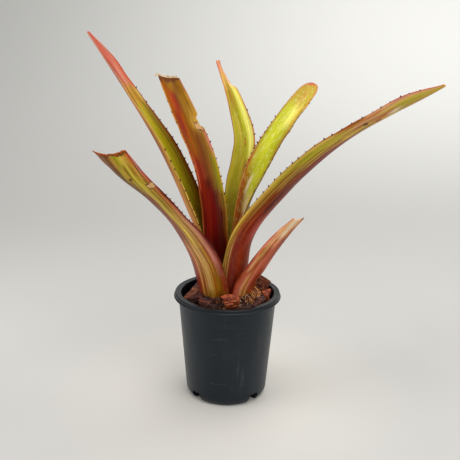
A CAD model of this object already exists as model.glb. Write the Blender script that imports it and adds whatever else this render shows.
import math
import random
import bpy
from mathutils import Euler, Matrix, Vector, noise


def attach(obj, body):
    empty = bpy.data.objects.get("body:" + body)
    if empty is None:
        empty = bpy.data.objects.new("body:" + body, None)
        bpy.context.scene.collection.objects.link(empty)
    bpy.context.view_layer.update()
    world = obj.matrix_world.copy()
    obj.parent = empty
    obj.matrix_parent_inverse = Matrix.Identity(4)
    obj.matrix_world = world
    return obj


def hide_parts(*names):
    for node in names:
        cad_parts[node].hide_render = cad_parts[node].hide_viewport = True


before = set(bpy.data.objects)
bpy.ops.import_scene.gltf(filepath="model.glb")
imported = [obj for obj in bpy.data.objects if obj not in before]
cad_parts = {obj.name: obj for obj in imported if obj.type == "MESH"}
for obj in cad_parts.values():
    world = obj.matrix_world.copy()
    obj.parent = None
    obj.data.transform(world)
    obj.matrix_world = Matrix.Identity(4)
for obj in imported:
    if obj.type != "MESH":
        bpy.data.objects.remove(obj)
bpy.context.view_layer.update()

mm = 0.001
plantCentre = (1.0, 8.0)  # where the stem stands in the pot, mm


def clearSelection():
    bpy.ops.object.select_all(action="DESELECT")


def pickOnly(piece):
    clearSelection()
    piece.select_set(True)
    bpy.context.view_layer.objects.active = piece


def applyModifiers(piece):
    pickOnly(piece)
    for modifier in list(piece.modifiers):
        bpy.ops.object.modifier_apply(modifier=modifier.name)


def joinPieces(pieces, name):
    pickOnly(pieces[0])
    for piece in pieces:
        piece.select_set(True)
    if len(pieces) > 1:
        bpy.ops.object.join()
    pieces[0].name = pieces[0].data.name = name
    return pieces[0]


def copyPiece(piece):
    twin = piece.copy()
    twin.data = piece.data.copy()
    bpy.context.collection.objects.link(twin)
    return twin


def smoothShade(piece, degrees):
    pickOnly(piece)
    bpy.ops.object.shade_smooth_by_angle(angle=math.radians(degrees))


def placeInMesh(piece):
    # the object ends at the origin, unturned, with its place in its mesh
    pickOnly(piece)
    bpy.ops.object.transform_apply(location=True, rotation=True, scale=True)


def dressIn(piece, *materials):
    piece.data.materials.clear()
    for material in materials:
        piece.data.materials.append(material)


def standFor(piece, slot, *nodes):
    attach(piece, "root")
    if nodes:
        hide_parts(*nodes)


def evenLine(values, u):
    # a smooth line through evenly spaced values, read at u from 0 to 1
    last = len(values) - 1
    k = min(int(u * last), last - 1)
    t = u * last - k
    b, c = values[k], values[k + 1]
    a = values[k - 1] if k > 0 else b * 2 - c
    d = values[k + 2] if k + 2 <= last else c * 2 - b
    left, right = (c - a) * 0.5, (d - b) * 0.5
    return (b * (2 * t ** 3 - 3 * t ** 2 + 1) + left * (t ** 3 - 2 * t ** 2 + t)
            + c * (3 * t ** 2 - 2 * t ** 3) + right * (t ** 3 - t ** 2))


def easeBetween(low, high, value):
    t = min(max((value - low) / (high - low), 0.0), 1.0)
    return t * t * (3 - 2 * t)


def newMaterial(name):
    material = bpy.data.materials.new(name)
    material.use_nodes = True
    tree = material.node_tree
    return material, tree, tree.nodes["Principled BSDF"]


def addNode(tree, kind, inputs=None, **options):
    made = tree.nodes.new(kind)
    for key, value in options.items():
        setattr(made, key, value)
    for key, value in (inputs or {}).items():
        if isinstance(value, bpy.types.NodeSocket):
            tree.links.new(value, made.inputs[key])
        else:
            made.inputs[key].default_value = value
    return made


def objectPlace(tree):
    return addNode(tree, "ShaderNodeTexCoord").outputs["Object"]


def splitXYZ(tree, vector):
    return addNode(tree, "ShaderNodeSeparateXYZ", {"Vector": vector}).outputs


def doMath(tree, operation, first, second=0.0, third=None):
    inputs = {0: first, 1: second}
    if third is not None:
        inputs[2] = third
    return addNode(tree, "ShaderNodeMath", inputs, operation=operation).outputs[0]


def fadeRange(tree, value, low, high, start=0.0, end=1.0):
    inputs = {"Value": value, "From Min": low, "From Max": high, "To Min": start, "To Max": end}
    return addNode(tree, "ShaderNodeMapRange", inputs, interpolation_type="SMOOTHSTEP").outputs["Result"]


def mixColor(tree, factor, first, second, blend="MIX"):
    made = tree.nodes.new("ShaderNodeMix")
    made.data_type = "RGBA"
    made.blend_type = blend
    for key, value in ((0, factor), (6, first), (7, second)):
        if isinstance(value, bpy.types.NodeSocket):
            tree.links.new(value, made.inputs[key])
        else:
            made.inputs[key].default_value = value if key == 0 else (*value, 1.0)
    return made.outputs[2]


def colorRamp(tree, factor, stops):
    made = addNode(tree, "ShaderNodeValToRGB", {"Fac": factor})
    elements = made.color_ramp.elements
    while len(elements) < len(stops):
        elements.new(0.5)
    for element, (place, color) in zip(elements, stops):
        element.position = place
        element.color = (*color, 1.0)
    return made.outputs["Color"]


def noiseOn(tree, vector, scale, detail=3.0, roughness=0.55, distortion=0.0):
    inputs = {"Vector": vector, "Scale": scale, "Detail": detail, "Roughness": roughness,
              "Distortion": distortion}
    return addNode(tree, "ShaderNodeTexNoise", inputs).outputs["Fac"]


def stretched(tree, vector, scale, move=(0.0, 0.0, 0.0)):
    inputs = {"Vector": vector, "Scale": scale, "Location": move}
    return addNode(tree, "ShaderNodeMapping", inputs).outputs["Vector"]


def finishShader(tree, shader, color, rough, specular, bumpHeight=None, strength=1.0, depth=0.0):
    # depth is how far the bumps reach, in mm
    tree.links.new(color, shader.inputs["Base Color"])
    if isinstance(rough, bpy.types.NodeSocket):
        tree.links.new(rough, shader.inputs["Roughness"])
    else:
        shader.inputs["Roughness"].default_value = rough
    shader.inputs["Specular IOR Level"].default_value = specular
    if bumpHeight is not None:
        inputs = {"Height": bumpHeight, "Strength": strength, "Distance": depth * mm}
        bump = addNode(tree, "ShaderNodeBump", inputs)
        tree.links.new(bump.outputs["Normal"], shader.inputs["Normal"])


def shade(*picked):
    # a colour picked on the usual 0 to 255 scale, as the shader wants it
    return tuple(((c / 255 + 0.055) / 1.055) ** 2.4 if c > 10 else c / 255 / 12.92 for c in picked)


ink = shade(46, 10, 6)
bloodDark = shade(80, 4, 3)
blood = shade(120, 9, 6)
wine = shade(112, 30, 22)
maroon = shade(138, 46, 30)
brick = shade(168, 68, 36)
rust = shade(160, 78, 22)
umber = shade(112, 56, 10)
brown = shade(134, 80, 14)
bronze = shade(156, 110, 20)
darkOlive = shade(96, 74, 6)
olive = shade(126, 108, 10)
moss = shade(156, 150, 16)
leafGreen = shade(176, 180, 8)
lime = shade(192, 194, 40)
mustard = shade(184, 168, 46)
gold = shade(196, 150, 60)
straw = shade(212, 176, 86)
honey = shade(220, 192, 76)
butter = shade(240, 236, 118)
orange = shade(210, 126, 66)
copper = shade(184, 88, 42)
salmon = shade(222, 132, 104)
coral = shade(200, 92, 70)
pink = shade(190, 82, 70)
rose = shade(204, 134, 116)
paleTan = shade(222, 176, 120)
sand = shade(204, 158, 92)
peach = shade(242, 178, 126)
cream = shade(238, 222, 188)
dried = shade(104, 58, 28)


# Each leaf leaves the plant's centre at an azimuth in degrees. Its midrib runs through points
# given by distance out, height and sideways drift in mm, spaced evenly from base to tip.
# Spines are (margin, from, to, gap in mm), a bite is (margin, place, half length, depth) and a
# patch is (across, half width, along, half length, colour), all as shares of the leaf. Colours
# are bands at a percentage of the length, with stops in percent from minus to plus margin.
leafForms = {}
leafForms["leaf_upper_left"] = {
    "slot": "leaf_coral_olive", "azimuth": 162, "seed": 3, "out": [23.5, 31, 51.5, 81, 122, 166],
    "height": [111, 168, 220, 277, 337, 399], "drift": [0, 0, 1, 1, -2, 2],
    "halfWidth": [23.8, 23.9, 24, 24.4, 24.8, 25.2, 24.6, 19.6, 15, 12.3, 2.5],
    "curl": [58, 60, 55, 45, 30], "roll": [0, -2, 2, 4, 2], "fold": [0, 0.08, 0.18, 0.15, 0.05, 0],
    "spines": [(-1, 0.22, 0.8, 9.5), (1, 0.3, 0.6, 11.0)], "bite": (-1, 0.96, 0.12, -0.14),
    "inner": {
        "spots": 0.5,
        "bands": [
            (0, [(0, blood), (6, wine), (30, umber), (90, brown), (100, gold)]),
            (24, [(0, blood), (4, wine), (10, brown), (22, olive), (50, olive), (84, moss), (92, gold),
                  (97, straw), (100, orange)]),
            (46, [(0, wine), (3, brown), (10, olive), (30, moss), (60, olive), (84, moss), (90, straw),
                  (95, copper), (100, straw)]),
            (62, [(0, wine), (4, brown), (12, olive), (30, moss), (55, mustard), (76, bronze), (83, orange),
                  (91, rust), (96, orange), (100, straw)]),
            (72, [(0, wine), (4, brown), (12, olive), (34, mustard), (52, olive), (68, bronze),
                  (78, orange), (88, rust), (100, orange)]),
            (77, [(0, rust), (7, straw), (18, bronze), (34, gold), (48, brown), (60, maroon), (80, wine),
                  (100, copper)]),
            (83, [(0, pink), (10, coral), (26, rose), (40, pink), (54, maroon), (70, wine), (88, maroon),
                  (100, copper)]),
            (95, [(0, rose), (25, pink), (50, coral), (80, maroon), (100, rose)]),
        ],
    },
    "outer": {
        "spots": 0.3,
        "bands": [
            (0, [(0, maroon), (50, copper), (70, gold), (85, rust), (100, maroon)]),
            (36, [(0, maroon), (50, brick), (62, wine), (68, brick), (80, orange), (92, gold), (96.5, rust),
                  (98.5, straw), (100, honey)]),
            (60, [(0, maroon), (45, brick), (60, wine), (70, brown), (86, rust), (96, gold), (100, straw)]),
            (74, [(0, maroon), (50, copper), (65, maroon), (85, orange), (100, straw)]),
            (86, [(0, pink), (50, coral), (70, maroon), (85, coral), (100, rose)]),
        ],
    },
}
leafForms["leaf_lower_left_cut"] = {
    "slot": "leaf_gold_striped", "azimuth": 222, "seed": 8, "out": [30, 44, 70, 101, 133, 156],
    "height": [111, 159, 202, 237, 266, 294], "drift": [0, 0, -1, -1, 0, 2],
    "halfWidth": [28.5, 29, 24, 20, 16], "curl": [54, 50, 48, 48, 50], "roll": [0, 2, -5, 11, 43],
    "cutSlant": -7, "ragged": 1.8, "spines": [(1, 0.22, 0.66, 9.0), (-1, 0.15, 0.5, 12.0)],
    "outer": {
        "spots": 0.45, "patches": [(0.9, 0.075, 0.725, 0.017, paleTan), (0.6, 0.035, 0.8, 0.007, umber)],
        "driedEnd": 0.985, "endColor": rust,
        "bands": [
            (0, [(0, wine), (40, maroon), (46, brown), (52, bronze), (56, brown), (60, bronze), (63, umber),
                 (67, bronze), (75, brown), (84, umber), (92, brown), (100, umber)]),
            (9, [(0, wine), (40, maroon), (45, copper), (48, sand), (51, rust), (55, maroon), (58, sand),
                 (60, rust), (63, sand), (69, sand), (72, gold), (77, rust), (82, bronze), (86, brown),
                 (95, maroon), (100, umber)]),
            (24, [(0, wine), (36, maroon), (43, brick), (47, copper), (51, sand), (53.5, rust), (56, sand),
                  (58, maroon), (60, rust), (62, sand), (74, sand), (76.5, maroon), (79, gold), (84, rust),
                  (90, rose), (97, maroon), (100, ink)]),
            (40, [(0, wine), (42, maroon), (50, wine), (54, brick), (60, umber), (64, wine), (66, sand),
                  (69, rust), (71, honey), (84, sand), (86.5, maroon), (89, sand), (95, rose), (98, maroon),
                  (100, ink)]),
            (60, [(0, ink), (30, darkOlive), (50, umber), (60, maroon), (64, umber), (66, straw),
                  (74, honey), (78, olive), (85, gold), (88, umber), (91, orange), (96, maroon),
                  (100, ink)]),
            (74, [(0, ink), (30, darkOlive), (48, umber), (56, olive), (62, gold), (68, moss), (72, honey),
                  (80, mustard), (86, gold), (90, umber), (94, orange), (97, pink), (100, maroon)]),
            (84, [(0, brown), (20, umber), (44, umber), (52, mustard), (60, gold), (66, olive), (74, honey),
                  (80, bronze), (88, gold), (92, wine), (95, rose), (100, maroon)]),
            (94, [(0, rust), (20, brown), (38, umber), (50, gold), (60, moss), (70, honey), (84, gold),
                  (91, copper), (95, maroon), (100, rose)]),
        ],
    },
    "inner": {
        "spots": 0.4, "driedEnd": 0.975, "endColor": straw,
        "bands": [
            (0, [(0, wine), (50, maroon), (100, wine)]),
            (50, [(0, maroon), (30, rust), (60, olive), (100, maroon)]),
            (85, [(0, rust), (20, brown), (60, mustard), (90, olive), (100, pink)]),
        ],
    },
}
leafForms["leaf_back_left_cut"] = {
    "slot": "leaf_rust", "azimuth": 140, "seed": 14, "out": [14, 24, 32, 49, 70, 93],
    "height": [111, 162, 213, 260, 306, 350], "drift": [0, 3, 0, -4, 0, 2],
    "halfWidth": [21.5, 22, 22, 19.5, 13], "curl": [88, 65, 50, 45, 45], "roll": [0, -8, 0, -5, -24],
    "cutSlant": 5, "ragged": 0.4, "spines": [(-1, 0.4, 0.72, 12.0), (1, 0.55, 0.9, 16.0)],
    "bite": (-1, 0.77, 0.035, 0.2),
    "inner": {
        "spots": 0.45, "gloss": 0.4, "bloom": 0.0, "lines": 0.1,
        "patches": [(0.1, 0.09, 0.745, 0.022, paleTan), (0.86, 0.1, 0.575, 0.008, coral)],
        "driedEnd": 0.985, "endColor": umber,
        "bands": [
            (0, [(0, bloodDark), (50, ink), (100, bloodDark)]),
            (16, [(0, gold), (3, rust), (7, bloodDark), (40, bloodDark), (70, blood), (88, bloodDark),
                  (94, rose), (96.5, orange), (100, gold)]),
            (32, [(0, gold), (3, bronze), (7, brown), (14, bloodDark), (40, blood), (60, blood),
                  (70, bloodDark), (78, blood), (86, maroon), (92, copper), (100, gold)]),
            (42, [(0, gold), (5, olive), (12, brown), (22, bloodDark), (40, blood), (60, blood),
                  (72, blood), (80, bloodDark), (90, maroon), (94, copper), (100, umber)]),
            (48, [(0, gold), (6, moss), (14, olive), (26, umber), (40, bloodDark), (58, blood), (72, blood),
                  (80, coral), (86, blood), (94, maroon), (100, umber)]),
            (55, [(0, gold), (6, moss), (14, olive), (24, brown), (36, umber), (48, maroon), (60, blood),
                  (70, maroon), (78, coral), (84, maroon), (92, copper), (100, copper)]),
            (67, [(0, copper), (5, rose), (10, bronze), (22, brown), (36, umber), (48, brown), (60, rust),
                  (72, brown), (84, maroon), (94, rust), (100, gold)]),
            (76, [(0, straw), (7, gold), (16, gold), (30, bronze), (42, brown), (54, rust), (66, maroon),
                  (80, maroon), (92, rust), (100, gold)]),
            (88, [(0, rose), (6, gold), (14, bronze), (30, bronze), (42, brown), (54, maroon), (66, brick),
                  (80, rust), (92, rust), (100, gold)]),
            (96, [(0, rose), (10, bronze), (30, brown), (55, bronze), (75, brown), (90, rust),
                  (100, gold)]),
        ],
    },
    "outer": {
        "spots": 0.3, "driedEnd": 0.985,
        "bands": [
            (0, [(0, wine), (50, maroon), (100, wine)]),
            (50, [(0, orange), (30, brick), (70, maroon), (100, orange)]),
            (90, [(0, gold), (40, brick), (80, rust), (100, orange)]),
        ],
    },
}
leafForms["leaf_back_centre"] = {
    "slot": "leaf_lime", "azimuth": 88, "seed": 21, "out": [18.8, 29.5, 42, 60, 80, 106],
    "height": [111, 170, 225, 278, 322, 366], "drift": [0, -5, -7, -14, -1, 21],
    "halfWidth": [17.6, 16, 15.2, 13.4, 9.4, 2], "curl": [55, 50, 45, 40, 35], "roll": [0, 0, -3, 0, 0],
    "spines": [(-1, 0.5, 0.74, 13.0)], "bite": (-1, 0.925, 0.075, 0.75),
    "inner": {
        "spots": 0.15, "lines": 0.15, "bloom": 0.35, "patches": [(0.46, 0.025, 0.6, 0.013, orange)],
        "bands": [
            (0, [(0, umber), (50, darkOlive), (100, umber)]),
            (30, [(0, brown), (10, bronze), (40, moss), (75, olive), (97, moss), (100, umber)]),
            (46, [(0, rust), (4, lime), (15, mustard), (25, honey), (36, bronze), (50, mustard), (65, moss),
                  (86, mustard), (97, mustard), (100, umber)]),
            (58, [(0, copper), (4, gold), (10, butter), (28, butter), (38, lime), (50, moss), (63, mustard),
                  (80, moss), (96, mustard), (100, rust)]),
            (70, [(0, copper), (5, straw), (12, butter), (32, butter), (42, lime), (54, moss),
                  (68, mustard), (84, moss), (95, mustard), (100, rust)]),
            (82, [(0, rust), (5, honey), (25, butter), (42, mustard), (70, bronze), (86, mustard),
                  (100, copper)]),
            (90, [(0, rust), (15, peach), (35, peach), (50, gold), (80, straw), (100, orange)]),
            (97, [(0, copper), (40, peach), (80, salmon), (100, copper)]),
        ],
    },
    "outer": {
        "spots": 0.2,
        "bands": [
            (0, [(0, umber), (50, rust), (100, umber)]),
            (60, [(0, pink), (30, lime), (60, olive), (100, maroon)]),
            (92, [(0, orange), (50, salmon), (100, orange)]),
        ],
    },
}
leafForms["leaf_upper_right"] = {
    "slot": "leaf_bright_green", "azimuth": 38, "seed": 30, "out": [8.5, 16, 27, 51, 85, 122],
    "height": [111, 166, 220, 269, 308, 344], "drift": [0, 0, 3, -2, -1, 1],
    "halfWidth": [19.3, 17, 17.4, 18.2, 16.4, 10], "curl": [130, 95, 60, 45, 45],
    "roll": [0, -8, 10, 6, 30], "fold": [0, 0.4, 1.2, 0.15, 0, 0], "roundTip": 0.075,
    "spines": [(1, 0.52, 0.8, 9.0), (-1, 0.45, 0.93, 8.5)],
    "inner": {
        "spots": 0.1, "bloom": 0.95, "lines": 0.12,
        "bands": [
            (0, [(0, umber), (50, umber), (100, maroon)]),
            (26, [(0, umber), (30, brown), (46, gold), (58, copper), (74, rust), (88, gold), (100, rust)]),
            (36, [(0, umber), (16, moss), (36, honey), (50, cream), (58, straw), (66, brown), (78, rust),
                  (92, copper), (100, umber)]),
            (45, [(0, brown), (20, moss), (42, leafGreen), (56, lime), (64, cream), (72, bronze),
                  (84, copper), (93, rust), (100, straw)]),
            (54, [(0, umber), (5, brown), (20, moss), (34, leafGreen), (60, leafGreen), (76, lime),
                  (88, mustard), (95, copper), (100, rust)]),
            (66, [(0, umber), (5, brown), (18, bronze), (30, moss), (46, leafGreen), (66, lime), (86, lime),
                  (95, moss), (100, rust)]),
            (80, [(0, umber), (5, straw), (18, bronze), (34, honey), (50, butter), (76, lime), (88, lime),
                  (96, mustard), (100, rust)]),
            (91, [(0, copper), (8, gold), (30, mustard), (60, gold), (80, mustard), (96, gold),
                  (100, copper)]),
            (97.5, [(0, coral), (10, gold), (50, mustard), (90, gold), (100, coral)]),
            (99.5, [(0, pink), (50, coral), (100, pink)]),
        ],
    },
    "outer": {
        "spots": 0.15, "bloom": 0.2,
        "bands": [
            (0, [(0, umber), (50, rust), (100, copper)]),
            (36, [(0, olive), (50, brown), (74, umber), (86, brown), (96, gold), (100, orange)]),
            (50, [(0, olive), (50, bronze), (80, gold), (95, straw), (100, orange)]),
            (60, [(0, olive), (50, lime), (100, olive)]),
            (94, [(0, gold), (50, mustard), (100, gold)]),
            (99, [(0, pink), (50, coral), (100, pink)]),
        ],
    },
}
leafForms["leaf_long_right"] = {
    "slot": "leaf_maroon_striped", "azimuth": -30, "seed": 41, "out": [17, 25, 65, 114, 171, 223],
    "height": [111, 183, 241, 290, 331, 363], "drift": [-10.5, -7, 0, -2, 0, 1],
    "halfWidth": [22.7, 20.5, 19, 19.5, 20.5, 21, 21.6, 21.6, 20.6, 16, 2], "curl": [65, 55, 50, 45, 35],
    "roll": [-35, -22, -14, -4, -20], "spines": [(-1, 0.28, 0.96, 9.5)],
    "outer": {
        "spots": 0.5, "patches": [(0.25, 0.05, 0.745, 0.006, umber), (0.4, 0.035, 0.775, 0.008, brown)],
        "bands": [
            (0, [(0, copper), (4, rust), (12, maroon), (40, wine), (70, maroon), (100, maroon)]),
            (14, [(0, moss), (3, straw), (6, bronze), (9, sand), (12, brown), (15, sand), (18, maroon),
                  (30, maroon), (45, brick), (60, maroon), (80, brick), (100, brick)]),
            (24, [(0, rust), (1.5, straw), (5, honey), (8, rust), (11, gold), (14, maroon), (19, copper),
                  (23, wine), (30, brick), (36, maroon), (60, pink), (80, maroon), (100, maroon)]),
            (34, [(0, ink), (2, straw), (9, gold), (13, bronze), (16, umber), (19, gold), (22, wine),
                  (25, rust), (29, wine), (36, maroon), (42, bloodDark), (60, maroon), (100, maroon)]),
            (46, [(0, ink), (3, straw), (10, mustard), (15, bronze), (18, umber), (21, straw), (24, umber),
                  (27, straw), (30, umber), (34, wine), (40, rust), (44, wine), (60, wine), (100, maroon)]),
            (56, [(0, rust), (3, straw), (10, moss), (19, mustard), (22, brown), (25, honey), (29, umber),
                  (33, gold), (37, wine), (50, maroon), (60, wine), (100, maroon)]),
            (64, [(0, copper), (4, straw), (12, mustard), (20, honey), (28, brown), (34, gold), (40, rust),
                  (46, maroon), (60, wine), (100, maroon)]),
            (69, [(0, rust), (5, copper), (14, straw), (22, gold), (30, honey), (38, gold), (46, brown),
                  (60, brick), (100, maroon)]),
            (73, [(0, copper), (3, brown), (8, orange), (15, paleTan), (22, copper), (30, honey),
                  (38, brown), (46, gold), (60, brown), (100, rust)]),
            (77.5, [(0, rose), (3, peach), (10, orange), (18, paleTan), (26, orange), (34, copper),
                    (42, honey), (52, orange), (62, bronze), (100, rust)]),
            (82.5, [(0, pink), (3, peach), (10, paleTan), (18, honey), (26, orange), (34, cream),
                    (48, straw), (62, gold), (100, rust)]),
            (87, [(0, pink), (3, rose), (8, peach), (14, honey), (30, mustard), (50, gold), (62, bronze),
                  (80, bronze), (100, rose)]),
            (96, [(0, coral), (8, peach), (24, honey), (60, gold), (100, coral)]),
        ],
    },
    "inner": {
        "spots": 0.45,
        "bands": [
            (0, [(0, wine), (50, maroon), (100, wine)]),
            (50, [(0, olive), (50, brown), (80, rust), (100, maroon)]),
            (76, [(0, olive), (40, brown), (70, rust), (92, gold), (100, brick)]),
            (88, [(0, gold), (50, mustard), (85, orange), (100, pink)]),
            (98, [(0, orange), (50, coral), (100, pink)]),
        ],
    },
}
leafForms["leaf_lower_right_short"] = {
    "slot": "leaf_brick", "azimuth": -42, "seed": 55, "out": [27.5, 32, 45, 60, 78, 96],
    "height": [111, 131, 153, 175, 199, 221], "drift": [0, -2, 0, 0, 0, 1],
    "halfWidth": [20.2, 17.5, 17.5, 15, 9], "curl": [42, 50, 50, 50, 40], "roll": [0, -10, -6, -5, -8],
    "spines": [],
    "outer": {
        "spots": 0.25,
        "bands": [
            (0, [(0, wine), (8, brick), (20, copper), (30, bronze), (42, brown), (55, maroon), (80, maroon),
                 (100, wine)]),
            (10, [(0, wine), (6, coral), (16, salmon), (24, sand), (30, copper), (36, sand), (44, rust),
                  (56, brick), (80, maroon), (100, wine)]),
            (26, [(0, wine), (5, brick), (12, coral), (20, salmon), (27, sand), (31, copper), (36, salmon),
                  (44, coral), (52, maroon), (64, brick), (80, maroon), (100, wine)]),
            (44, [(0, maroon), (5, pink), (13, peach), (19, copper), (25, brick), (30, salmon), (38, coral),
                  (50, brick), (65, pink), (85, maroon), (100, wine)]),
            (62, [(0, wine), (3, salmon), (10, copper), (17, sand), (24, brick), (36, coral), (50, brick),
                  (62, maroon), (72, coral), (100, ink)]),
            (74, [(0, pink), (4, salmon), (16, peach), (24, copper), (30, peach), (40, coral), (50, maroon),
                  (66, rust), (80, maroon), (100, ink)]),
            (84, [(0, pink), (4, peach), (16, peach), (30, cream), (42, orange), (52, brick), (66, maroon),
                  (80, brick), (100, ink)]),
            (94, [(0, coral), (6, peach), (24, cream), (42, peach), (60, orange), (72, umber), (84, rust),
                  (100, wine)]),
        ],
    },
    "inner": {
        "spots": 0.25,
        "bands": [
            (0, [(0, maroon), (50, wine), (100, maroon)]),
            (60, [(0, orange), (50, brick), (100, maroon)]),
            (90, [(0, gold), (50, straw), (100, orange)]),
        ],
    },
}


def leafFrame(form, u):
    # the midrib's place, the leaf's sideways and inward directions, and its direction of growth
    turn = math.radians(form["azimuth"])
    points = []
    for out, height, drift in zip(form["out"], form["height"], form["drift"]):
        points.append(Vector((plantCentre[0] + out * math.cos(turn) - drift * math.sin(turn),
                              plantCentre[1] + out * math.sin(turn) + drift * math.cos(turn), height)))
    step = 0.002
    middle = evenLine(points, u)
    along = (evenLine(points, min(u + step, 1.0)) - evenLine(points, max(u - step, 0.0))).normalized()
    level = Vector((-math.sin(turn), math.cos(turn), 0.0))
    face = along.cross(level).normalized()
    side = face.cross(along)
    roll = math.radians(evenLine(form["roll"], u))
    sideways = side * math.cos(roll) + face * math.sin(roll)
    inward = face * math.cos(roll) - side * math.sin(roll)
    return middle, sideways, inward, along


# the blade's wall and its unevenness, in mm
bladeForm = {
    "cells": (22, 130), "wall": 2.3, "thinMargin": 0.68, "thinTip": 0.2,
    "ripple": 1.3, "swell": 1.0, "rib": 0.22, "ribTurn": 34,
}


def leafPoint(form, u, s):
    # s runs from the minus margin at -1 to the plus margin at 1
    middle, sideways, inward, along = leafFrame(form, u)
    seed = form["seed"]
    curl = math.radians(evenLine(form["curl"], u))
    width = evenLine(form["halfWidth"], u)
    if "roundTip" in form and u > 1 - form["roundTip"]:
        back = (u - 1 + form["roundTip"]) / form["roundTip"]
        width *= math.sqrt(max(1 - 0.97 * back ** 2.4, 0.0))
    if "fold" in form and s > 0:
        curl *= 1 + max(evenLine(form["fold"], u), 0.0)
    radius = width / curl
    reach = s
    if "bite" in form:
        side, place, half, depth = form["bite"]
        if s * side > 0:
            torn = depth * easeBetween(half, half * 0.55, abs(u - place))
            reach = s * (1 - torn * (0.85 + 0.3 * noise.noise(Vector((u * 60, seed, 0)))))
    # the margins ripple a little, and the blade has fine lengthways ribs
    edge = abs(s) ** 4
    ripple = noise.noise(Vector((u * 16, s * 1.5, seed))) * bladeForm["ripple"] * edge
    swell = noise.noise(Vector((u * 5, s * 1.2, seed + 9))) * bladeForm["swell"]
    waver = noise.noise(Vector((u * 3, seed, 0.5))) * 2
    ribs = bladeForm["rib"] * math.cos(s * bladeForm["ribTurn"] + waver) * (1 - edge)
    lift = ripple + swell * easeBetween(0.03, 0.15, u) + ribs
    angle = curl * reach
    place = middle + sideways * (radius * math.sin(angle)) + inward * (radius * (1 - math.cos(angle)))
    place += (inward * math.cos(angle) - sideways * math.sin(angle)) * lift
    # a cut leaf ends on a slant, with its end torn
    slant = form.get("cutSlant", 0) * s * u ** 6
    tear = noise.noise(Vector((s * 7, seed, 2.5))) + 0.5 * noise.noise(Vector((s * 19, seed, 4.5)))
    return place + along * (slant + form.get("ragged", 0) * tear * u ** 30)


# the leaf skin: how far its patterns stretch across and along the blade, and how strong they are
skinForm = {
    "drift": (2.0, 5.0, 1.0), "driftBy": 0.05, "patchy": (5.0, 9.0, 1.0), "patchyBy": 0.14,
    "fibres": (46.0, 2.2, 1.0), "finer": (190.0, 9.0, 1.0), "fibreTone": (2.0, -0.98),
    "lines": (58.0, 0.9, 1.0), "scales": (13.0, 42.0, 1.0), "freckles": (24.0, 110.0, 1.0),
    "ragged": (14.0, 60.0, 1.0), "scaleColor": shade(228, 226, 160), "dryEdge": 0.012,
    "saturation": 1.02, "specular": 0.16, "subsurface": 0.04, "scatter": (0.6, 0.4, 0.1),
}


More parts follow.
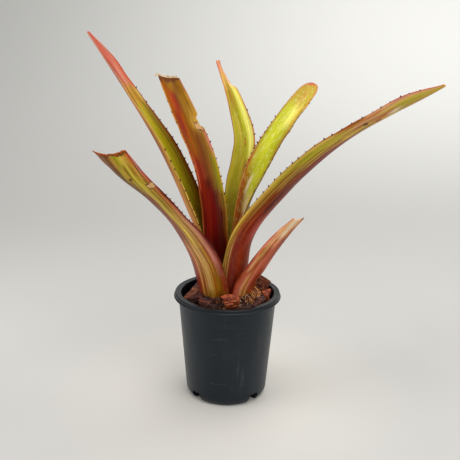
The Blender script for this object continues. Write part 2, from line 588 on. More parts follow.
def leafMaterial(name, look, seed):
    material, tree, shader = newMaterial(name)
    uvMap = addNode(tree, "ShaderNodeUVMap", uv_map="UVMap").outputs["UV"]
    across, along, _ = splitXYZ(tree, uvMap)

    def pattern(kind, move, detail, roughness=0.55):
        return noiseOn(tree, stretched(tree, uvMap, skinForm[kind], move), 1.0, detail, roughness)

    drift, driftBy = pattern("drift", (seed, 0, 0), 2.0), skinForm["driftBy"]
    bandPlace = doMath(tree, "ADD", across, doMath(tree, "MULTIPLY_ADD", drift, driftBy, -driftBy / 2))
    patchy, patchyBy = pattern("patchy", (0, seed, 0), 4.0, 0.6), skinForm["patchyBy"]
    alongPlace = doMath(tree, "MULTIPLY_ADD", patchy, patchyBy, doMath(tree, "ADD", along, -patchyBy / 2))
    color, before = None, 0.0
    for percent, stops in look["bands"]:
        place = percent / 100
        band = colorRamp(tree, bandPlace, [(stop / 100, paint) for stop, paint in stops])
        if color is not None:
            factor = fadeRange(tree, alongPlace, before + (place - before) * 0.25, place)
            band = mixColor(tree, factor, color, band)
        color, before = band, place
    # lengthways fibres, lighter and darker
    fibres = pattern("fibres", (seed, 3, 0), 4.0, 0.65)
    finer = pattern("finer", (0, seed, 0), 2.0)
    tone = doMath(tree, "MULTIPLY_ADD", doMath(tree, "ADD", fibres, finer), *skinForm["fibreTone"])
    grey = addNode(tree, "ShaderNodeCombineXYZ", {"X": tone, "Y": tone, "Z": tone}).outputs[0]
    color = mixColor(tree, 1.0, color, grey, "MULTIPLY")
    # thin dark and pale lines running the length of the blade
    lines, strength = pattern("lines", (seed, 0, 2), 2.0), look.get("lines", 0.35)
    color = mixColor(tree, fadeRange(tree, lines, 0.56, 0.66, 0.0, strength), color, wine)
    color = mixColor(tree, fadeRange(tree, lines, 0.42, 0.34, 0.0, strength * 0.8), color, straw)
    # pale scales in short cross bands, and brown freckles
    scales = pattern("scales", (seed, seed, 0), 9.0, 0.85)
    scaleMask = fadeRange(tree, scales, 0.50, 0.66, 0.0, look.get("bloom", 0.1))
    color = mixColor(tree, scaleMask, color, skinForm["scaleColor"])
    freckles = pattern("freckles", (seed, 0, 5), 3.0, 0.6)
    color = mixColor(tree, fadeRange(tree, freckles, 0.63, 0.72, 0.0, look["spots"]), color, dried)
    # dry patches with a ragged dark rim
    edges = doMath(tree, "MULTIPLY_ADD", pattern("ragged", (2, seed, 1), 4.0, 0.6), 2.6, -1.3)
    for patchAcross, halfAcross, patchAlong, halfAlong, patchColor in look.get("patches", []):
        reach = 0.0
        for way, middle, half in ((across, patchAcross, halfAcross), (along, patchAlong, halfAlong)):
            far = doMath(tree, "DIVIDE", doMath(tree, "SUBTRACT", way, middle), half)
            reach = doMath(tree, "ADD", doMath(tree, "POWER", doMath(tree, "ABSOLUTE", far), 3.0), reach)
        reach = doMath(tree, "ADD", doMath(tree, "POWER", reach, 0.333), edges)
        color = mixColor(tree, fadeRange(tree, reach, 1.25, 1.05), color, dried)
        color = mixColor(tree, fadeRange(tree, reach, 1.0, 0.85), color, patchColor)
    if "driedEnd" in look:
        start, dryEdge = look["driedEnd"], skinForm["dryEdge"]
        color = mixColor(tree, fadeRange(tree, alongPlace, start - dryEdge, start), color, dried)
        color = mixColor(tree, fadeRange(tree, alongPlace, start, start + dryEdge), color,
                         look.get("endColor", cream))
    rich = addNode(tree, "ShaderNodeHueSaturation", {"Saturation": skinForm["saturation"], "Color": color})
    gloss = doMath(tree, "MULTIPLY_ADD", scaleMask, 0.4, look.get("gloss", 0.36) - 0.12)
    rough = doMath(tree, "MULTIPLY_ADD", patchy, 0.3, gloss)
    rise = doMath(tree, "ADD", doMath(tree, "MULTIPLY", fibres, 0.8), doMath(tree, "MULTIPLY", scales, 0.35))
    finishShader(tree, shader, rich.outputs["Color"], rough, skinForm["specular"], rise, 0.5, 0.5)
    shader.inputs["Subsurface Weight"].default_value = skinForm["subsurface"]
    shader.inputs["Subsurface Radius"].default_value = skinForm["scatter"]
    shader.inputs["Subsurface Scale"].default_value = 2 * mm
    return material


# a hooked thorn, wide at its foot and leaning towards the leaf's tip, in mm
thornForm = {"sides": 6, "foot": 0.6, "point": 0.15, "length": 2.0, "lean": 1.0, "rise": 0.5,
             "scale": (0.6, 1.05), "leafLength": 330.0, "tones": (shade(56, 6, 4), shade(110, 24, 14))}


def thornMaterial():
    material, tree, shader = newMaterial("spine horn")
    grain = noiseOn(tree, objectPlace(tree), 900.0, 2.0)
    color = colorRamp(tree, grain, list(zip((0.3, 0.7), thornForm["tones"])))
    finishShader(tree, shader, color, 0.55, 0.15)
    return material


def makeThorn():
    clearSelection()
    bpy.ops.mesh.primitive_cone_add(vertices=thornForm["sides"], radius1=thornForm["foot"] * mm,
                                    radius2=thornForm["point"] * mm, depth=thornForm["length"] * mm,
                                    end_fill_type="TRIFAN")
    thorn = bpy.context.active_object
    for vertex in thorn.data.vertices:
        rise = vertex.co.z / (thornForm["length"] * mm) + 0.5
        vertex.co.x *= 2.0 - rise
        vertex.co.x += thornForm["lean"] * mm * rise * rise
        vertex.co.z += thornForm["rise"] * mm
    return thorn


def placeThorns(form, thorn, horn):
    made = []
    rng = random.Random(form["seed"])
    for side, start, end, gap in form["spines"]:
        u = start
        while u < end:
            edge = leafPoint(form, u, side)
            inside = leafPoint(form, u, side * 0.9)
            ahead = leafPoint(form, min(u + 0.01, 1.0), side)
            out = (edge - inside).normalized()
            along = (ahead - edge).normalized()
            third = out.cross(along).normalized()
            size = rng.uniform(*thornForm["scale"]) * (0.8 + 0.4 * math.sin(u * math.pi))
            turn = Matrix((along, third, out)).transposed().to_4x4()
            twin = copyPiece(thorn)
            twin.data.transform(Matrix.Translation(edge * mm) @ turn @ Matrix.Scale(size, 4))
            dressIn(twin, horn)
            made.append(twin)
            u += gap * rng.uniform(0.8, 1.2) / thornForm["leafLength"]
    return made


# a dry strip of skin curling off the cut, longer than the cut on its left, in mm
shredForm = {"leaf": "leaf_back_left_cut", "cells": (26, 3), "wall": 0.35, "tall": 2.6, "uneven": 1.2,
             "overhang": 14, "tones": (shade(190, 150, 100), shade(240, 226, 192))}


def paperMaterial():
    material, tree, shader = newMaterial("papery dry skin")
    tone = noiseOn(tree, stretched(tree, objectPlace(tree), (1.0, 1.0, 2.0)), 300.0, 4.0, 0.6)
    color = colorRamp(tree, tone, list(zip((0.36, 0.55), shredForm["tones"])))
    finishShader(tree, shader, color, 0.7, 0.5)
    return material


def makeShred():
    form = leafForms[shredForm["leaf"]]
    clearSelection()
    cellsAcross, cellsUp = shredForm["cells"]
    bpy.ops.mesh.primitive_grid_add(x_subdivisions=cellsAcross, y_subdivisions=cellsUp, size=2.0)
    shred = bpy.context.active_object
    shred.name = "dry_skin_shred"
    _, sideways, inward, along = leafFrame(form, 1.0)
    for vertex in shred.data.vertices:
        s, rise = 0.2 - vertex.co.x * 1.05, (vertex.co.y + 1) / 2
        edge = leafPoint(form, 1.0, max(-0.85, min(s, 0.95)))
        edge += sideways * max(s - 0.95, 0.0) * shredForm["overhang"]
        waver = noise.noise(Vector((s * 4, rise, 6.0)))
        tall = shredForm["tall"] + shredForm["uneven"] * noise.noise(Vector((s * 6, 1.0, 2.0)))
        tall *= easeBetween(1.25, 0.9, abs(s - 0.1))
        vertex.co = (edge + along * (tall * rise - 0.6) + inward * (waver * 1.2 + rise * 0.8)) * mm
    wall = shred.modifiers.new("wall", "SOLIDIFY")
    wall.thickness = shredForm["wall"] * mm
    wall.offset = 0.0
    applyModifiers(shred)
    dressIn(shred, paperMaterial())
    smoothShade(shred, 60)
    standFor(shred, form["slot"])


def makeLeaf(name, form, thorn, horn):
    clearSelection()
    cellsAcross, cellsAlong = bladeForm["cells"]
    bpy.ops.mesh.primitive_grid_add(x_subdivisions=cellsAcross, y_subdivisions=cellsAlong, size=2.0)
    leaf = bpy.context.active_object
    thick = leaf.vertex_groups.new(name="thick")
    for vertex in leaf.data.vertices:
        s, u = vertex.co.x, (vertex.co.y + 1) / 2
        weight = 1.0 - bladeForm["thinMargin"] * s * s - bladeForm["thinTip"] * u * (1 - s * s)
        thick.add([vertex.index], weight, "REPLACE")
        vertex.co = leafPoint(form, u, s) * mm
    dressIn(leaf, leafMaterial(name + " outer face", form["outer"], form["seed"]),
            leafMaterial(name + " inner face", form["inner"], form["seed"] + 0.5))
    wall = leaf.modifiers.new("wall", "SOLIDIFY")
    wall.thickness = bladeForm["wall"] * mm
    wall.offset = 0.0
    wall.vertex_group = thick.name
    wall.material_offset = 1
    wall.material_offset_rim = 0
    soften = leaf.modifiers.new("soften", "SUBSURF")
    soften.levels = soften.render_levels = 1
    applyModifiers(leaf)
    smoothShade(leaf, 60)
    leaf = joinPieces([leaf] + placeThorns(form, thorn, horn), name.replace("leaf_", "blade_"))
    standFor(leaf, form["slot"], name)


potForm = {
    "height": 121.0, "rim": 60.0, "mouth": 52.0, "neck": 54.8, "heel": 46.0, "foot": 40.0, "floor": 3.0,
    "drains": 4, "drainWidth": 13.0, "drainHeight": 10.5, "drainDepth": 14.0, "drainTurn": -47.0,
    "drainRound": 1.6, "wallSteps": 9, "sides": 144,
    "lip": (115.8, 116.6), "dimple": (1.0, 105.5), "dimpleHalf": (3.6, 1.3),
}
plasticTones = {
    "black": [(0.30, shade(4, 10, 17)), (0.55, shade(9, 17, 25)), (0.80, shade(22, 29, 38))],
    "streak": shade(66, 70, 74), "speck": shade(104, 104, 100), "scratch": shade(96, 100, 104),
    "lip": shade(6, 9, 14), "dimple": shade(3, 5, 8), "specular": 0.42, "sheen": (0.78, 0.90, 1.0, 1.0),
}


def spinProfile(points, steps, name):
    # an outline in mm, drawn corner by corner from one point and spun round the upright axis
    clearSelection()
    bpy.ops.mesh.primitive_plane_add(size=mm)
    piece = bpy.context.active_object
    piece.name = piece.data.name = name
    bpy.ops.object.mode_set(mode="EDIT")
    bpy.ops.mesh.select_all(action="SELECT")
    bpy.ops.mesh.merge(type="CENTER")
    bpy.ops.transform.translate(value=(points[0][0] * mm, 0, points[0][1] * mm))
    for (r, z), (nextR, nextZ) in zip(points, points[1:]):
        move = ((nextR - r) * mm, 0, (nextZ - z) * mm)
        bpy.ops.mesh.extrude_region_move(TRANSFORM_OT_translate={"value": move})
    bpy.ops.mesh.select_all(action="SELECT")
    bpy.ops.mesh.spin(steps=steps, angle=math.tau, center=(0, 0, 0), axis=(0, 0, 1))
    bpy.ops.mesh.select_all(action="SELECT")
    bpy.ops.mesh.remove_doubles(threshold=0.01 * mm)
    bpy.ops.mesh.normals_make_consistent(inside=False)
    bpy.ops.object.mode_set(mode="OBJECT")
    return piece


def plasticMaterial():
    material, tree, shader = newMaterial("dusty pot plastic")
    place = objectPlace(tree)
    dust = noiseOn(tree, stretched(tree, place, (1.0, 1.0, 0.6)), 38.0, 6.0, 0.65)
    streaks = noiseOn(tree, stretched(tree, place, (6.0, 6.0, 0.7)), 20.0, 4.0, 0.6)
    specks = noiseOn(tree, place, 900.0, 2.0, 0.5)
    scratches = noiseOn(tree, stretched(tree, place, (0.8, 0.8, 9.0)), 60.0, 5.0, 0.7)
    color = colorRamp(tree, dust, plasticTones["black"])
    marks = [(streaks, 0.58, 0.80, 0.3, "streak"), (specks, 0.70, 0.80, 0.4, "speck"),
             (scratches, 0.60, 0.74, 0.35, "scratch")]
    for pattern, low, high, most, tone in marks:
        color = mixColor(tree, fadeRange(tree, pattern, low, high, 0.0, most), color, plasticTones[tone])
    # a darker lip, and a small moulded dimple under it at the front
    side, front, height = splitXYZ(tree, place)
    lipLow, lipHigh = potForm["lip"]
    color = mixColor(tree, fadeRange(tree, height, lipLow * mm, lipHigh * mm), color, plasticTones["lip"])
    away = 0.0
    for way, middle, half in zip((side, height), potForm["dimple"], potForm["dimpleHalf"]):
        far = doMath(tree, "DIVIDE", doMath(tree, "SUBTRACT", way, middle * mm), half * mm)
        away = doMath(tree, "ADD", doMath(tree, "POWER", far, 2.0), away)
    dimple = doMath(tree, "MULTIPLY", fadeRange(tree, away, 1.3, 0.7),
                    fadeRange(tree, front, -10 * mm, -20 * mm))
    color = mixColor(tree, dimple, color, plasticTones["dimple"])
    grain = noiseOn(tree, place, 1500.0, 2.0)
    waves = noiseOn(tree, stretched(tree, place, (1.0, 1.0, 0.25)), 60.0, 2.0)
    rough = doMath(tree, "MULTIPLY_ADD", dust, 0.35, 0.20)
    rise = doMath(tree, "ADD", doMath(tree, "MULTIPLY", grain, 0.15), waves)
    finishShader(tree, shader, color, rough, plasticTones["specular"], rise, 0.25, 0.6)
    shader.inputs["Specular Tint"].default_value = plasticTones["sheen"]
    return material


def makePot():
    top, rim, mouth = potForm["height"], potForm["rim"], potForm["mouth"]
    neck, heel, foot, floor = potForm["neck"], potForm["heel"], potForm["foot"], potForm["floor"]
    # the underside and the turned heel, from the middle outwards
    outline = [(0, 0), (foot - 1.5, 0), (foot, 0.2), (foot + 1.6, 0.8), (foot + 3.0, 1.9), (foot + 4.1, 3.6),
               (heel - 0.4, 6.0), (heel, 9)]
    for step in range(1, potForm["wallSteps"]):
        share = step / potForm["wallSteps"]
        outline.append((heel + (neck - heel) * share, 9 + (top - 14) * share))
    # the lip with its bead, measured from the top, then down the inside
    outline += [(neck, top - 5.6), (neck + 0.6, top - 5.2), (rim - 0.9, top - 5.2), (rim - 0.2, top - 5.0),
                (rim, top - 4.6), (rim - 0.1, top - 4.1), (rim - 0.5, top - 3.7), (rim - 1.0, top - 3.4),
                (rim - 1.2, top - 2.8), (rim - 1.2, top - 1.2), (rim - 1.3, top - 0.7),
                (rim - 1.6, top - 0.3), (rim - 2.1, top - 0.05), (rim - 2.8, top - 0.05),
                (rim - 3.6, top - 0.4), (mouth + 2.2, top - 0.4), (mouth + 1.2, top - 0.3),
                (mouth + 0.5, top - 0.6),
                (mouth + 0.1, top - 1.2), (mouth, top - 5), (heel - 2, 10), (foot + 2.2, floor + 3),
                (foot + 0.6, floor + 0.9), (foot - 2, floor), (0, floor)]
    pot = spinProfile(outline, potForm["sides"], "nursery_pot")
    cutters = []
    deep, wide, tall = potForm["drainDepth"], potForm["drainWidth"], potForm["drainHeight"] * 2
    reach = (heel + 2 - deep / 2) * mm
    for number in range(potForm["drains"]):
        clearSelection()
        turn = math.radians(potForm["drainTurn"] + 360 / potForm["drains"] * number)
        place = (reach * math.cos(turn), reach * math.sin(turn), 0)
        bpy.ops.mesh.primitive_cube_add(size=1, location=place, rotation=(0, 0, turn))
        cutter = bpy.context.active_object
        cutter.scale = (deep * mm, wide * mm, tall * mm)
        placeInMesh(cutter)
        soften = cutter.modifiers.new("soften", "BEVEL")
        soften.width = potForm["drainRound"] * mm
        soften.segments = 4
        applyModifiers(cutter)
        cutters.append(cutter)
    cutter = joinPieces(cutters, "drain_cutters")
    notch = pot.modifiers.new("drains", "BOOLEAN")
    notch.operation = "DIFFERENCE"
    notch.solver = "EXACT"
    notch.object = cutter
    applyModifiers(pot)
    bpy.data.objects.remove(cutter)
    dressIn(pot, plasticMaterial())
    smoothShade(pot, 32)
    standFor(pot, "pot_plastic", "pot")


# the mix fills the pot and heaps up round the foot of the plant, lower towards the wall, in mm
mixForm = {
    "level": 106.0, "heap": 120.5, "heapCentre": (2.0, 4.0), "heapInner": 27.0, "heapOuter": 46.0,
    "wall": [(0, 3.4), (37.6, 3.4), (42.6, 11), (50.6, 104.5)], "edge": 50.2, "rings": 51, "sides": 150,
    "lumps": 2.0,
    "tones": [(0.34, shade(14, 5, 4)), (0.50, shade(48, 18, 12)), (0.62, shade(86, 34, 20)),
              (0.78, shade(122, 52, 28))],
    "fleck": shade(146, 74, 36),
}


def mixMaterial():
    material, tree, shader = newMaterial("damp potting mix")
    place = objectPlace(tree)
    lumps = noiseOn(tree, place, 160.0, 6.0, 0.7)
    flecks = noiseOn(tree, place, 420.0, 4.0, 0.65)
    color = mixColor(tree, fadeRange(tree, flecks, 0.58, 0.70, 0.0, 0.8),
                     colorRamp(tree, lumps, mixForm["tones"]), mixForm["fleck"])
    rough = doMath(tree, "MULTIPLY_ADD", lumps, 0.4, 0.45)
    finishShader(tree, shader, color, rough, 0.3, doMath(tree, "ADD", lumps, flecks), 1.0, 1.8)
    return material


def mixHeight(x, y):
    away = math.hypot(x - mixForm["heapCentre"][0], y - mixForm["heapCentre"][1])
    rise = mixForm["heap"] - mixForm["level"]
    height = mixForm["level"] + rise * easeBetween(mixForm["heapOuter"], mixForm["heapInner"], away)
    lumps = noise.fractal(Vector((x * 0.16, y * 0.16, 4.0)), 0.9, 2.2, 5)
    return height + mixForm["lumps"] * lumps * easeBetween(51.0, 46.0, math.hypot(x, y))


def makeMix():
    surface = mixForm["level"] - 0.5
    outline = mixForm["wall"] + [(mixForm["edge"] - ring, surface) for ring in range(mixForm["rings"])]
    mix = spinProfile(outline + [(0, surface)], mixForm["sides"], "mix_body")
    for vertex in mix.data.vertices:
        if vertex.co.z > (surface - 0.5) * mm:
            vertex.co.z = mixHeight(vertex.co.x / mm, vertex.co.y / mm) * mm
    dressIn(mix, mixMaterial())
    smoothShade(mix, 50)
    standFor(mix, "potting_mix", "potting_mix")


def barkMaterial(name, dark, light, seed):
    material, tree, shader = newMaterial(name)
    moved = stretched(tree, objectPlace(tree), (1.0, 1.0, 1.0), (seed, seed * 0.7, seed * 0.3))
    layers = noiseOn(tree, stretched(tree, moved, (0.35, 0.35, 1.6)), 330.0, 5.0, 0.65, 0.6)
    crumbs = noiseOn(tree, moved, 700.0, 4.0, 0.7)
    deepest, deeper = tuple(c * 0.35 for c in dark), tuple(c * 0.4 for c in dark)
    palest = tuple(min(c * 1.7, 0.9) for c in light)
    color = colorRamp(tree, layers, [(0.28, deepest), (0.46, dark), (0.62, light), (0.80, palest)])
    color = mixColor(tree, fadeRange(tree, crumbs, 0.35, 0.65, 0.55, 0.0), color, deeper)
    rough = doMath(tree, "MULTIPLY_ADD", crumbs, 0.35, 0.5)
    rise = doMath(tree, "ADD", layers, doMath(tree, "MULTIPLY", crumbs, 0.5))
    finishShader(tree, shader, color, rough, 0.5, rise, 0.9, 1.2)
    return material


stemForm = {
    "outline": [(0, 84), (4.5, 84), (6.5, 90), (6.5, 100), (6.2, 110), (6.5, 116), (5.2, 120), (3.5, 122.5),
                (0, 124)],
    "sides": 24, "uneven": 0.08, "tones": ((0.10, 0.05, 0.02), (0.24, 0.13, 0.06)),
}


def makeStem():
    stem = spinProfile(stemForm["outline"], stemForm["sides"], "crown_stem")
    for vertex in stem.data.vertices:
        place = vertex.co / mm
        spread = 1 + stemForm["uneven"] * noise.noise(place * 0.3)
        vertex.co.x = (place.x * spread + plantCentre[0]) * mm
        vertex.co.y = (place.y * spread + plantCentre[1]) * mm
    dressIn(stem, barkMaterial("stem rind", *stemForm["tones"], 2.0))
    smoothShade(stem, 50)
    standFor(stem, "stem", "short_stem")


# each loose chip: its middle, its size and its turn, in mm and degrees, and its tone
chipForms = [
    ((-39.5, 5.5, 115.3), (28, 9, 5), (60, -9, 14), "tan"),
    ((5, -34, 122), (16, 11, 13), (8, -20, 8), "orange"),
    ((39, 27, 121.5), (24, 15, 4), (-56, 6, 64), "tan"),
    ((-13, -38.5, 116), (12, 8, 8), (60, 14, -10), "dark"),
    ((-34.5, -13, 116.5), (14, 9, 7), (20, -5, 10), "brown"),
    ((-24, -28, 117), (14, 9, 7), (-40, 8, 15), "brown"),
    ((37, -17, 117), (13, 9, 6), (62, 10, 16), "brown"),
    ((44, 1, 116.5), (15, 8, 7), (84, -14, -10), "orange"),
    ((23, 37, 113), (12, 8, 7), (-50, 14, 10), "dark"),
    ((7, 44, 112.5), (17, 8, 7), (-10, 8, 14), "brown"),
    ((-11, 44, 112.5), (14, 8, 7), (12, -8, -10), "brown"),
    ((-26, 38, 113), (14, 8, 7), (36, 10, 12), "dark"),
    ((-36, 25.5, 113.5), (13, 8, 6), (64, -8, 10), "brown"),
    ((19.5, -39.5, 116.5), (13, 6, 5), (30, 4, 8), "dark"),
    ((32.5, -30.6, 116.5), (12, 6, 6), (45, -6, -6), "brown"),
]
barkTones = {
    "tan": (shade(110, 48, 26), shade(196, 116, 72)),
    "orange": (shade(140, 50, 22), shade(226, 116, 58)),
    "brown": (shade(64, 24, 16), shade(136, 62, 36)),
    "dark": (shade(36, 14, 10), shade(92, 46, 30)),
}
chipSlots = {"tan": "bark_orange", "orange": "bark_orange", "brown": "bark_brown", "dark": "bark_brown"}
chipShape = {"cuts": 9, "lean": 0.4, "wear": 0.05, "splinter": 0.22, "step": 0.20, "chipping": 0.11}


def shapeChip(size, turn, middle, seed):
    # a split slab: a block with worn ends, stepped layers and chipped edges
    clearSelection()
    bpy.ops.mesh.primitive_cube_add(size=1)
    chip = bpy.context.active_object
    bpy.ops.object.mode_set(mode="EDIT")
    bpy.ops.mesh.select_all(action="SELECT")
    bpy.ops.mesh.subdivide(number_cuts=chipShape["cuts"])
    bpy.ops.object.mode_set(mode="OBJECT")
    matrix = Euler([math.radians(angle) for angle in reversed(turn)]).to_matrix()
    small = min(size)
    rng = random.Random(seed)
    lean = Vector([rng.uniform(-chipShape["lean"], chipShape["lean"]) for _ in range(3)])
    for vertex in chip.data.vertices:
        block = vertex.co * 2
        # the ends taper unevenly and are broken off in splinters along the grain
        wear = 1 - chipShape["wear"] * (abs(block.y) ** 6 + abs(block.z) ** 6)
        splinter = noise.noise(Vector((seed, block.y * 2.6, block.z * 2.6)))
        splinter *= chipShape["splinter"] * abs(block.x) ** 3
        taper = Vector((1 + lean.x * block.z * 0.3 + splinter, 1 + lean.y * block.x, 1 + lean.z * block.x))
        place = Vector([block[i] * size[i] * taper[i] for i in range(3)]) * wear * 0.5
        grain = Vector((place.x * 0.35, place.y, place.z)) * (2.4 / small)
        grain += Vector((seed * 3.1, seed * 1.7, seed))
        step = math.floor((noise.noise(grain * 0.6) + 1) * 3) / 3 - 1
        chipping = noise.fractal(grain * 1.6, 0.8, 2.1, 4)
        normal = Vector([block[i] / size[i] for i in range(3)]).normalized()
        place += normal * small * (chipShape["step"] * step + chipShape["chipping"] * chipping)
        vertex.co = (matrix @ place + Vector(middle)) * mm
    return chip


def makeChips(barks):
    for number, (middle, size, turn, tone) in enumerate(chipForms, 1):
        chip = shapeChip(size, turn, middle, number)
        chip.name = "bark_piece_%02d" % number
        dressIn(chip, barks[tone])
        smoothShade(chip, 22)
        standFor(chip, chipSlots[tone], "bark_chip_%02d" % number)


# splinters and crumbs: how many, how long in mm, and how flat, from fine to coarse
crumbForms = {
    "grades": [(520, (0.6, 1.6), 0.8), (260, (1.6, 3.2), 0.5), (70, (3.2, 5.5), 0.35)],
    "reach": 49.5, "wall": 51, "tilt": 0.7, "rough": 0.45,
    "tones": ["dark", "dark", "brown", "brown", "brown", "tan", "orange"],
}


def makeCrumbs(barks):
    # small broken pieces scattered over the surface, modelled once and copied
    rng = random.Random(12)
    clearSelection()
    bpy.ops.mesh.primitive_ico_sphere_add(subdivisions=1, radius=1.0)
    grain = bpy.context.active_object
    groups = {tone: [] for tone in barks}
    tilt = crumbForms["tilt"]
    for count, lengths, flat in crumbForms["grades"]:
        for number in range(count):
            angle = rng.uniform(0, math.tau)
            radius = crumbForms["reach"] * math.sqrt(rng.uniform(0.10, 1))
            length = rng.uniform(*lengths)
            radius = min(radius, crumbForms["wall"] - length)
            x, y = radius * math.cos(angle), radius * math.sin(angle)
            shape = Vector((length, length * rng.uniform(0.3, 0.7), length * flat * rng.uniform(0.5, 0.9)))
            crumb = copyPiece(grain)
            turn = Euler([rng.uniform(-tilt, tilt), rng.uniform(-tilt, tilt), rng.uniform(0, math.tau)])
            turn = turn.to_matrix()
            centre = Vector((x, y, mixHeight(x, y) + shape.z * 0.5 + rng.uniform(0, 1.0)))
            for vertex in crumb.data.vertices:
                rough = 1 + crumbForms["rough"] * noise.noise(vertex.co * 1.7 + Vector((number, 0, 0)))
                shaped = Vector([vertex.co[i] * shape[i] for i in range(3)]) * rough
                vertex.co = (turn @ shaped + centre) * mm
            tone = rng.choice(crumbForms["tones"])
            dressIn(crumb, barks[tone])
            groups[tone].append(crumb)
    bpy.data.objects.remove(grain)
    for tone, crumbs in groups.items():
        standFor(joinPieces(crumbs, "mix_crumbs_" + tone), chipSlots[tone])


# bundles of fibre: middle, spread, how many, length in mm and tone
fibreBundles = [
    ((0, 0), 40, 80, (5, 14), "brown fibre"),
    ((31, -14), 10, 56, (7, 15), "golden fibre"),
    ((37, 3), 9, 44, (6, 13), "golden fibre"),
    ((19, -36), 7, 40, (4, 10), "pale fibre"),
    ((-10, -31), 10, 34, (5, 12), "brown fibre"),
    ((-8, -38), 7, 14, (5, 10), "pale fibre"),
    ((-30, -8), 9, 16, (5, 12), "brown fibre"),
    ((26, -28), 8, 18, (5, 11), "pale fibre"),
]
fibreForm = {"steps": 8, "thick": (0.16, 0.40), "bend": 0.35, "kink": 0.25, "lift": (0.5, 4.0), "wall": 49.5}
fibreTones = {
    "brown fibre": (shade(60, 26, 16), shade(156, 92, 52)),
    "golden fibre": (shade(150, 76, 24), shade(240, 172, 92)),
    "pale fibre": (shade(160, 106, 64), shade(246, 214, 170)),
}


def fibreMaterial(name):
    material, tree, shader = newMaterial(name)
    tone = noiseOn(tree, objectPlace(tree), 260.0, 3.0)
    color = colorRamp(tree, tone, list(zip((0.34, 0.62), fibreTones[name])))
    finishShader(tree, shader, color, 0.6, 0.5)
    return material


def makeStrand(rng, x, y, lengths):
    # one thin fibre that winds over the mix, arched a little off it
    steps, wall = fibreForm["steps"], fibreForm["wall"]
    heading = rng.uniform(0, math.tau)
    length = rng.uniform(*lengths)
    lift = rng.uniform(*fibreForm["lift"])
    curve = bpy.data.curves.new("fibre", "CURVE")
    curve.dimensions = "3D"
    curve.bevel_depth = rng.uniform(*fibreForm["thick"]) * mm
    curve.bevel_resolution = 0
    strand = curve.splines.new("POLY")
    strand.points.add(steps - 1)
    bend = rng.uniform(-fibreForm["bend"], fibreForm["bend"])
    for step, point in enumerate(strand.points):
        x += math.cos(heading) * length / steps
        y += math.sin(heading) * length / steps
        heading += bend + rng.uniform(-fibreForm["kink"], fibreForm["kink"])
        out = math.hypot(x, y)
        if out > wall:
            x, y = x * wall / out, y * wall / out
        z = mixHeight(x, y) + 0.8 + lift * math.sin(step / (steps - 1) * math.pi) + rng.uniform(-0.2, 0.2)
        point.co = (x * mm, y * mm, z * mm, 1)
    fibre = bpy.data.objects.new("fibre", curve)
    bpy.context.collection.objects.link(fibre)
    return fibre


def makeFibres():
    rng = random.Random(77)
    groups = {tone: [] for tone in fibreTones}
    for (middleX, middleY), spread, count, lengths, tone in fibreBundles:
        for _ in range(count):
            x = middleX + rng.gauss(0, spread * 0.5)
            y = middleY + rng.gauss(0, spread * 0.5)
            groups[tone].append(makeStrand(rng, x, y, lengths))
    for tone, strands in groups.items():
        pickOnly(strands[0])
        for fibre in strands:
            fibre.select_set(True)
        bpy.ops.object.convert(target="MESH")
        piece = joinPieces(strands, "mix_" + tone.replace(" ", "_"))
        dressIn(piece, fibreMaterial(tone))
        standFor(piece, "potting_mix")


# the camera in metres, its tilt in radians and its lens in mm
cameraForm = {"place": (0.00177, -0.800, 0.4328), "pitch": 0.292, "roll": 0.016, "lens": 59.53, "sensor": 36}


def makeCamera():
    data = bpy.data.cameras.new("view camera")
    data.lens = cameraForm["lens"]
    data.sensor_width = cameraForm["sensor"]
    data.clip_start = 0.05
    camera = bpy.data.objects.new("view camera", data)
    bpy.context.collection.objects.link(camera)
    tilt = Matrix.Rotation(math.pi / 2 - cameraForm["pitch"], 4, "X")
    turn = tilt @ Matrix.Rotation(cameraForm["roll"], 4, "Z")
    camera.matrix_world = Matrix.Translation(cameraForm["place"]) @ turn
    bpy.context.scene.camera = camera


# one pale sheet in metres: flat under the pot, then swept up into a wall behind it
sweepForm = {
    "halfWidth": 4, "front": -2.6, "length": 7.2, "bendStart": 0.7, "bendRadius": 1.3, "strips": 120,
    "floor": [(0.3, shade(192, 191, 188)), (0.7, shade(198, 197, 194))], "nearPot": shade(214, 211, 205),
    "middle": (shade(180, 179, 176), shade(196, 196, 193)),
    "upper": (shade(182, 182, 179), shade(240, 240, 237)),
}


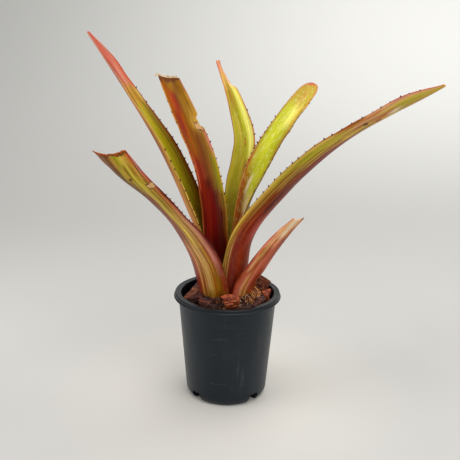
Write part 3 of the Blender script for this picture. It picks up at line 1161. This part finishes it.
def makeFloor():
    clearSelection()
    bpy.ops.mesh.primitive_grid_add(x_subdivisions=2, y_subdivisions=sweepForm["strips"], size=2.0)
    floor = bpy.context.active_object
    floor.name = "pale_sweep"
    start, radius = sweepForm["bendStart"], sweepForm["bendRadius"]
    for vertex in floor.data.vertices:
        run = (vertex.co.y + 1) * sweepForm["length"] / 2 + sweepForm["front"]
        angle = min(max(run - start, 0.0) / radius, math.pi / 2)
        rest = max(run - start - radius * math.pi / 2, 0.0)
        vertex.co = (vertex.co.x * sweepForm["halfWidth"], min(run, start) + radius * math.sin(angle),
                     radius * (1 - math.cos(angle)) + rest)
    material, tree, shader = newMaterial("pale matt sweep")
    place = objectPlace(tree)
    sideways, back, _ = splitXYZ(tree, place)
    across = fadeRange(tree, sideways, -0.9, 0.9)
    away = addNode(tree, "ShaderNodeVectorMath", {"Vector": place}, operation="LENGTH").outputs["Value"]
    color = colorRamp(tree, noiseOn(tree, place, 2.5, 3.0), sweepForm["floor"])
    color = mixColor(tree, fadeRange(tree, away, 0.26, 0.05), color, sweepForm["nearPot"])
    for part, low, high in (("middle", 0.1, 0.7), ("upper", 0.7, 1.6)):
        color = mixColor(tree, fadeRange(tree, back, low, high), color,
                         mixColor(tree, across, *sweepForm[part]))
    finishShader(tree, shader, color, 0.85, 0.2)
    dressIn(floor, material)
    smoothShade(floor, 60)


# soft lamps: place and aim in metres, size in metres, power in watts and colour
lampForms = {
    "overhead softbox": ((0.1, 0.1, 1.9), (0, 0, 0.1), 1.8, 19, (1.0, 0.995, 0.985)),
    "key softbox": ((0.8, -1.1, 1.4), (0, 0, 0.25), 1.5, 13, (1.0, 0.985, 0.96)),
    "side softbox": ((-1.3, -0.4, 0.9), (0, 0, 0.25), 0.9, 7, (0.98, 0.99, 1.0)),
    "sweep light": ((0.6, 0.9, 2.2), (0.3, 1.9, 0.4), 1.2, 11, (1.0, 1.0, 1.0)),
}
worldForm = {"Color": (1.0, 0.99, 0.97, 1), "Strength": 0.44}


def makeLights():
    world = bpy.data.worlds.new("soft studio")
    world.use_nodes = True
    for key, value in worldForm.items():
        world.node_tree.nodes["Background"].inputs[key].default_value = value
    bpy.context.scene.world = world
    for name, (place, aim, size, power, color) in lampForms.items():
        data = bpy.data.lights.new(name, "AREA")
        data.size = size
        data.energy = power
        data.color = color
        lamp = bpy.data.objects.new(name, data)
        bpy.context.collection.objects.link(lamp)
        lamp.location = place
        lamp.rotation_euler = (Vector(aim) - Vector(place)).to_track_quat("-Z", "Y").to_euler()


makeCamera()
makeFloor()
makeLights()
bpy.context.scene.view_settings.view_transform = "Standard"
print("camera, floor and lights are in place")

makePot()
print("the pot is spun and its drains are cut")

barks = {tone: barkMaterial(tone + " bark", *barkTones[tone], 1.3 + i) for i, tone in enumerate(barkTones)}
makeMix()
makeStem()
makeChips(barks)
makeCrumbs(barks)
makeFibres()
print("the mix, chips, crumbs and fibres are laid")

thorn, horn = makeThorn(), thornMaterial()
for leafName, leafForm in leafForms.items():
    makeLeaf(leafName, leafForm, thorn, horn)
    print("leaf finished:", leafName)
makeShred()
bpy.data.objects.remove(thorn)
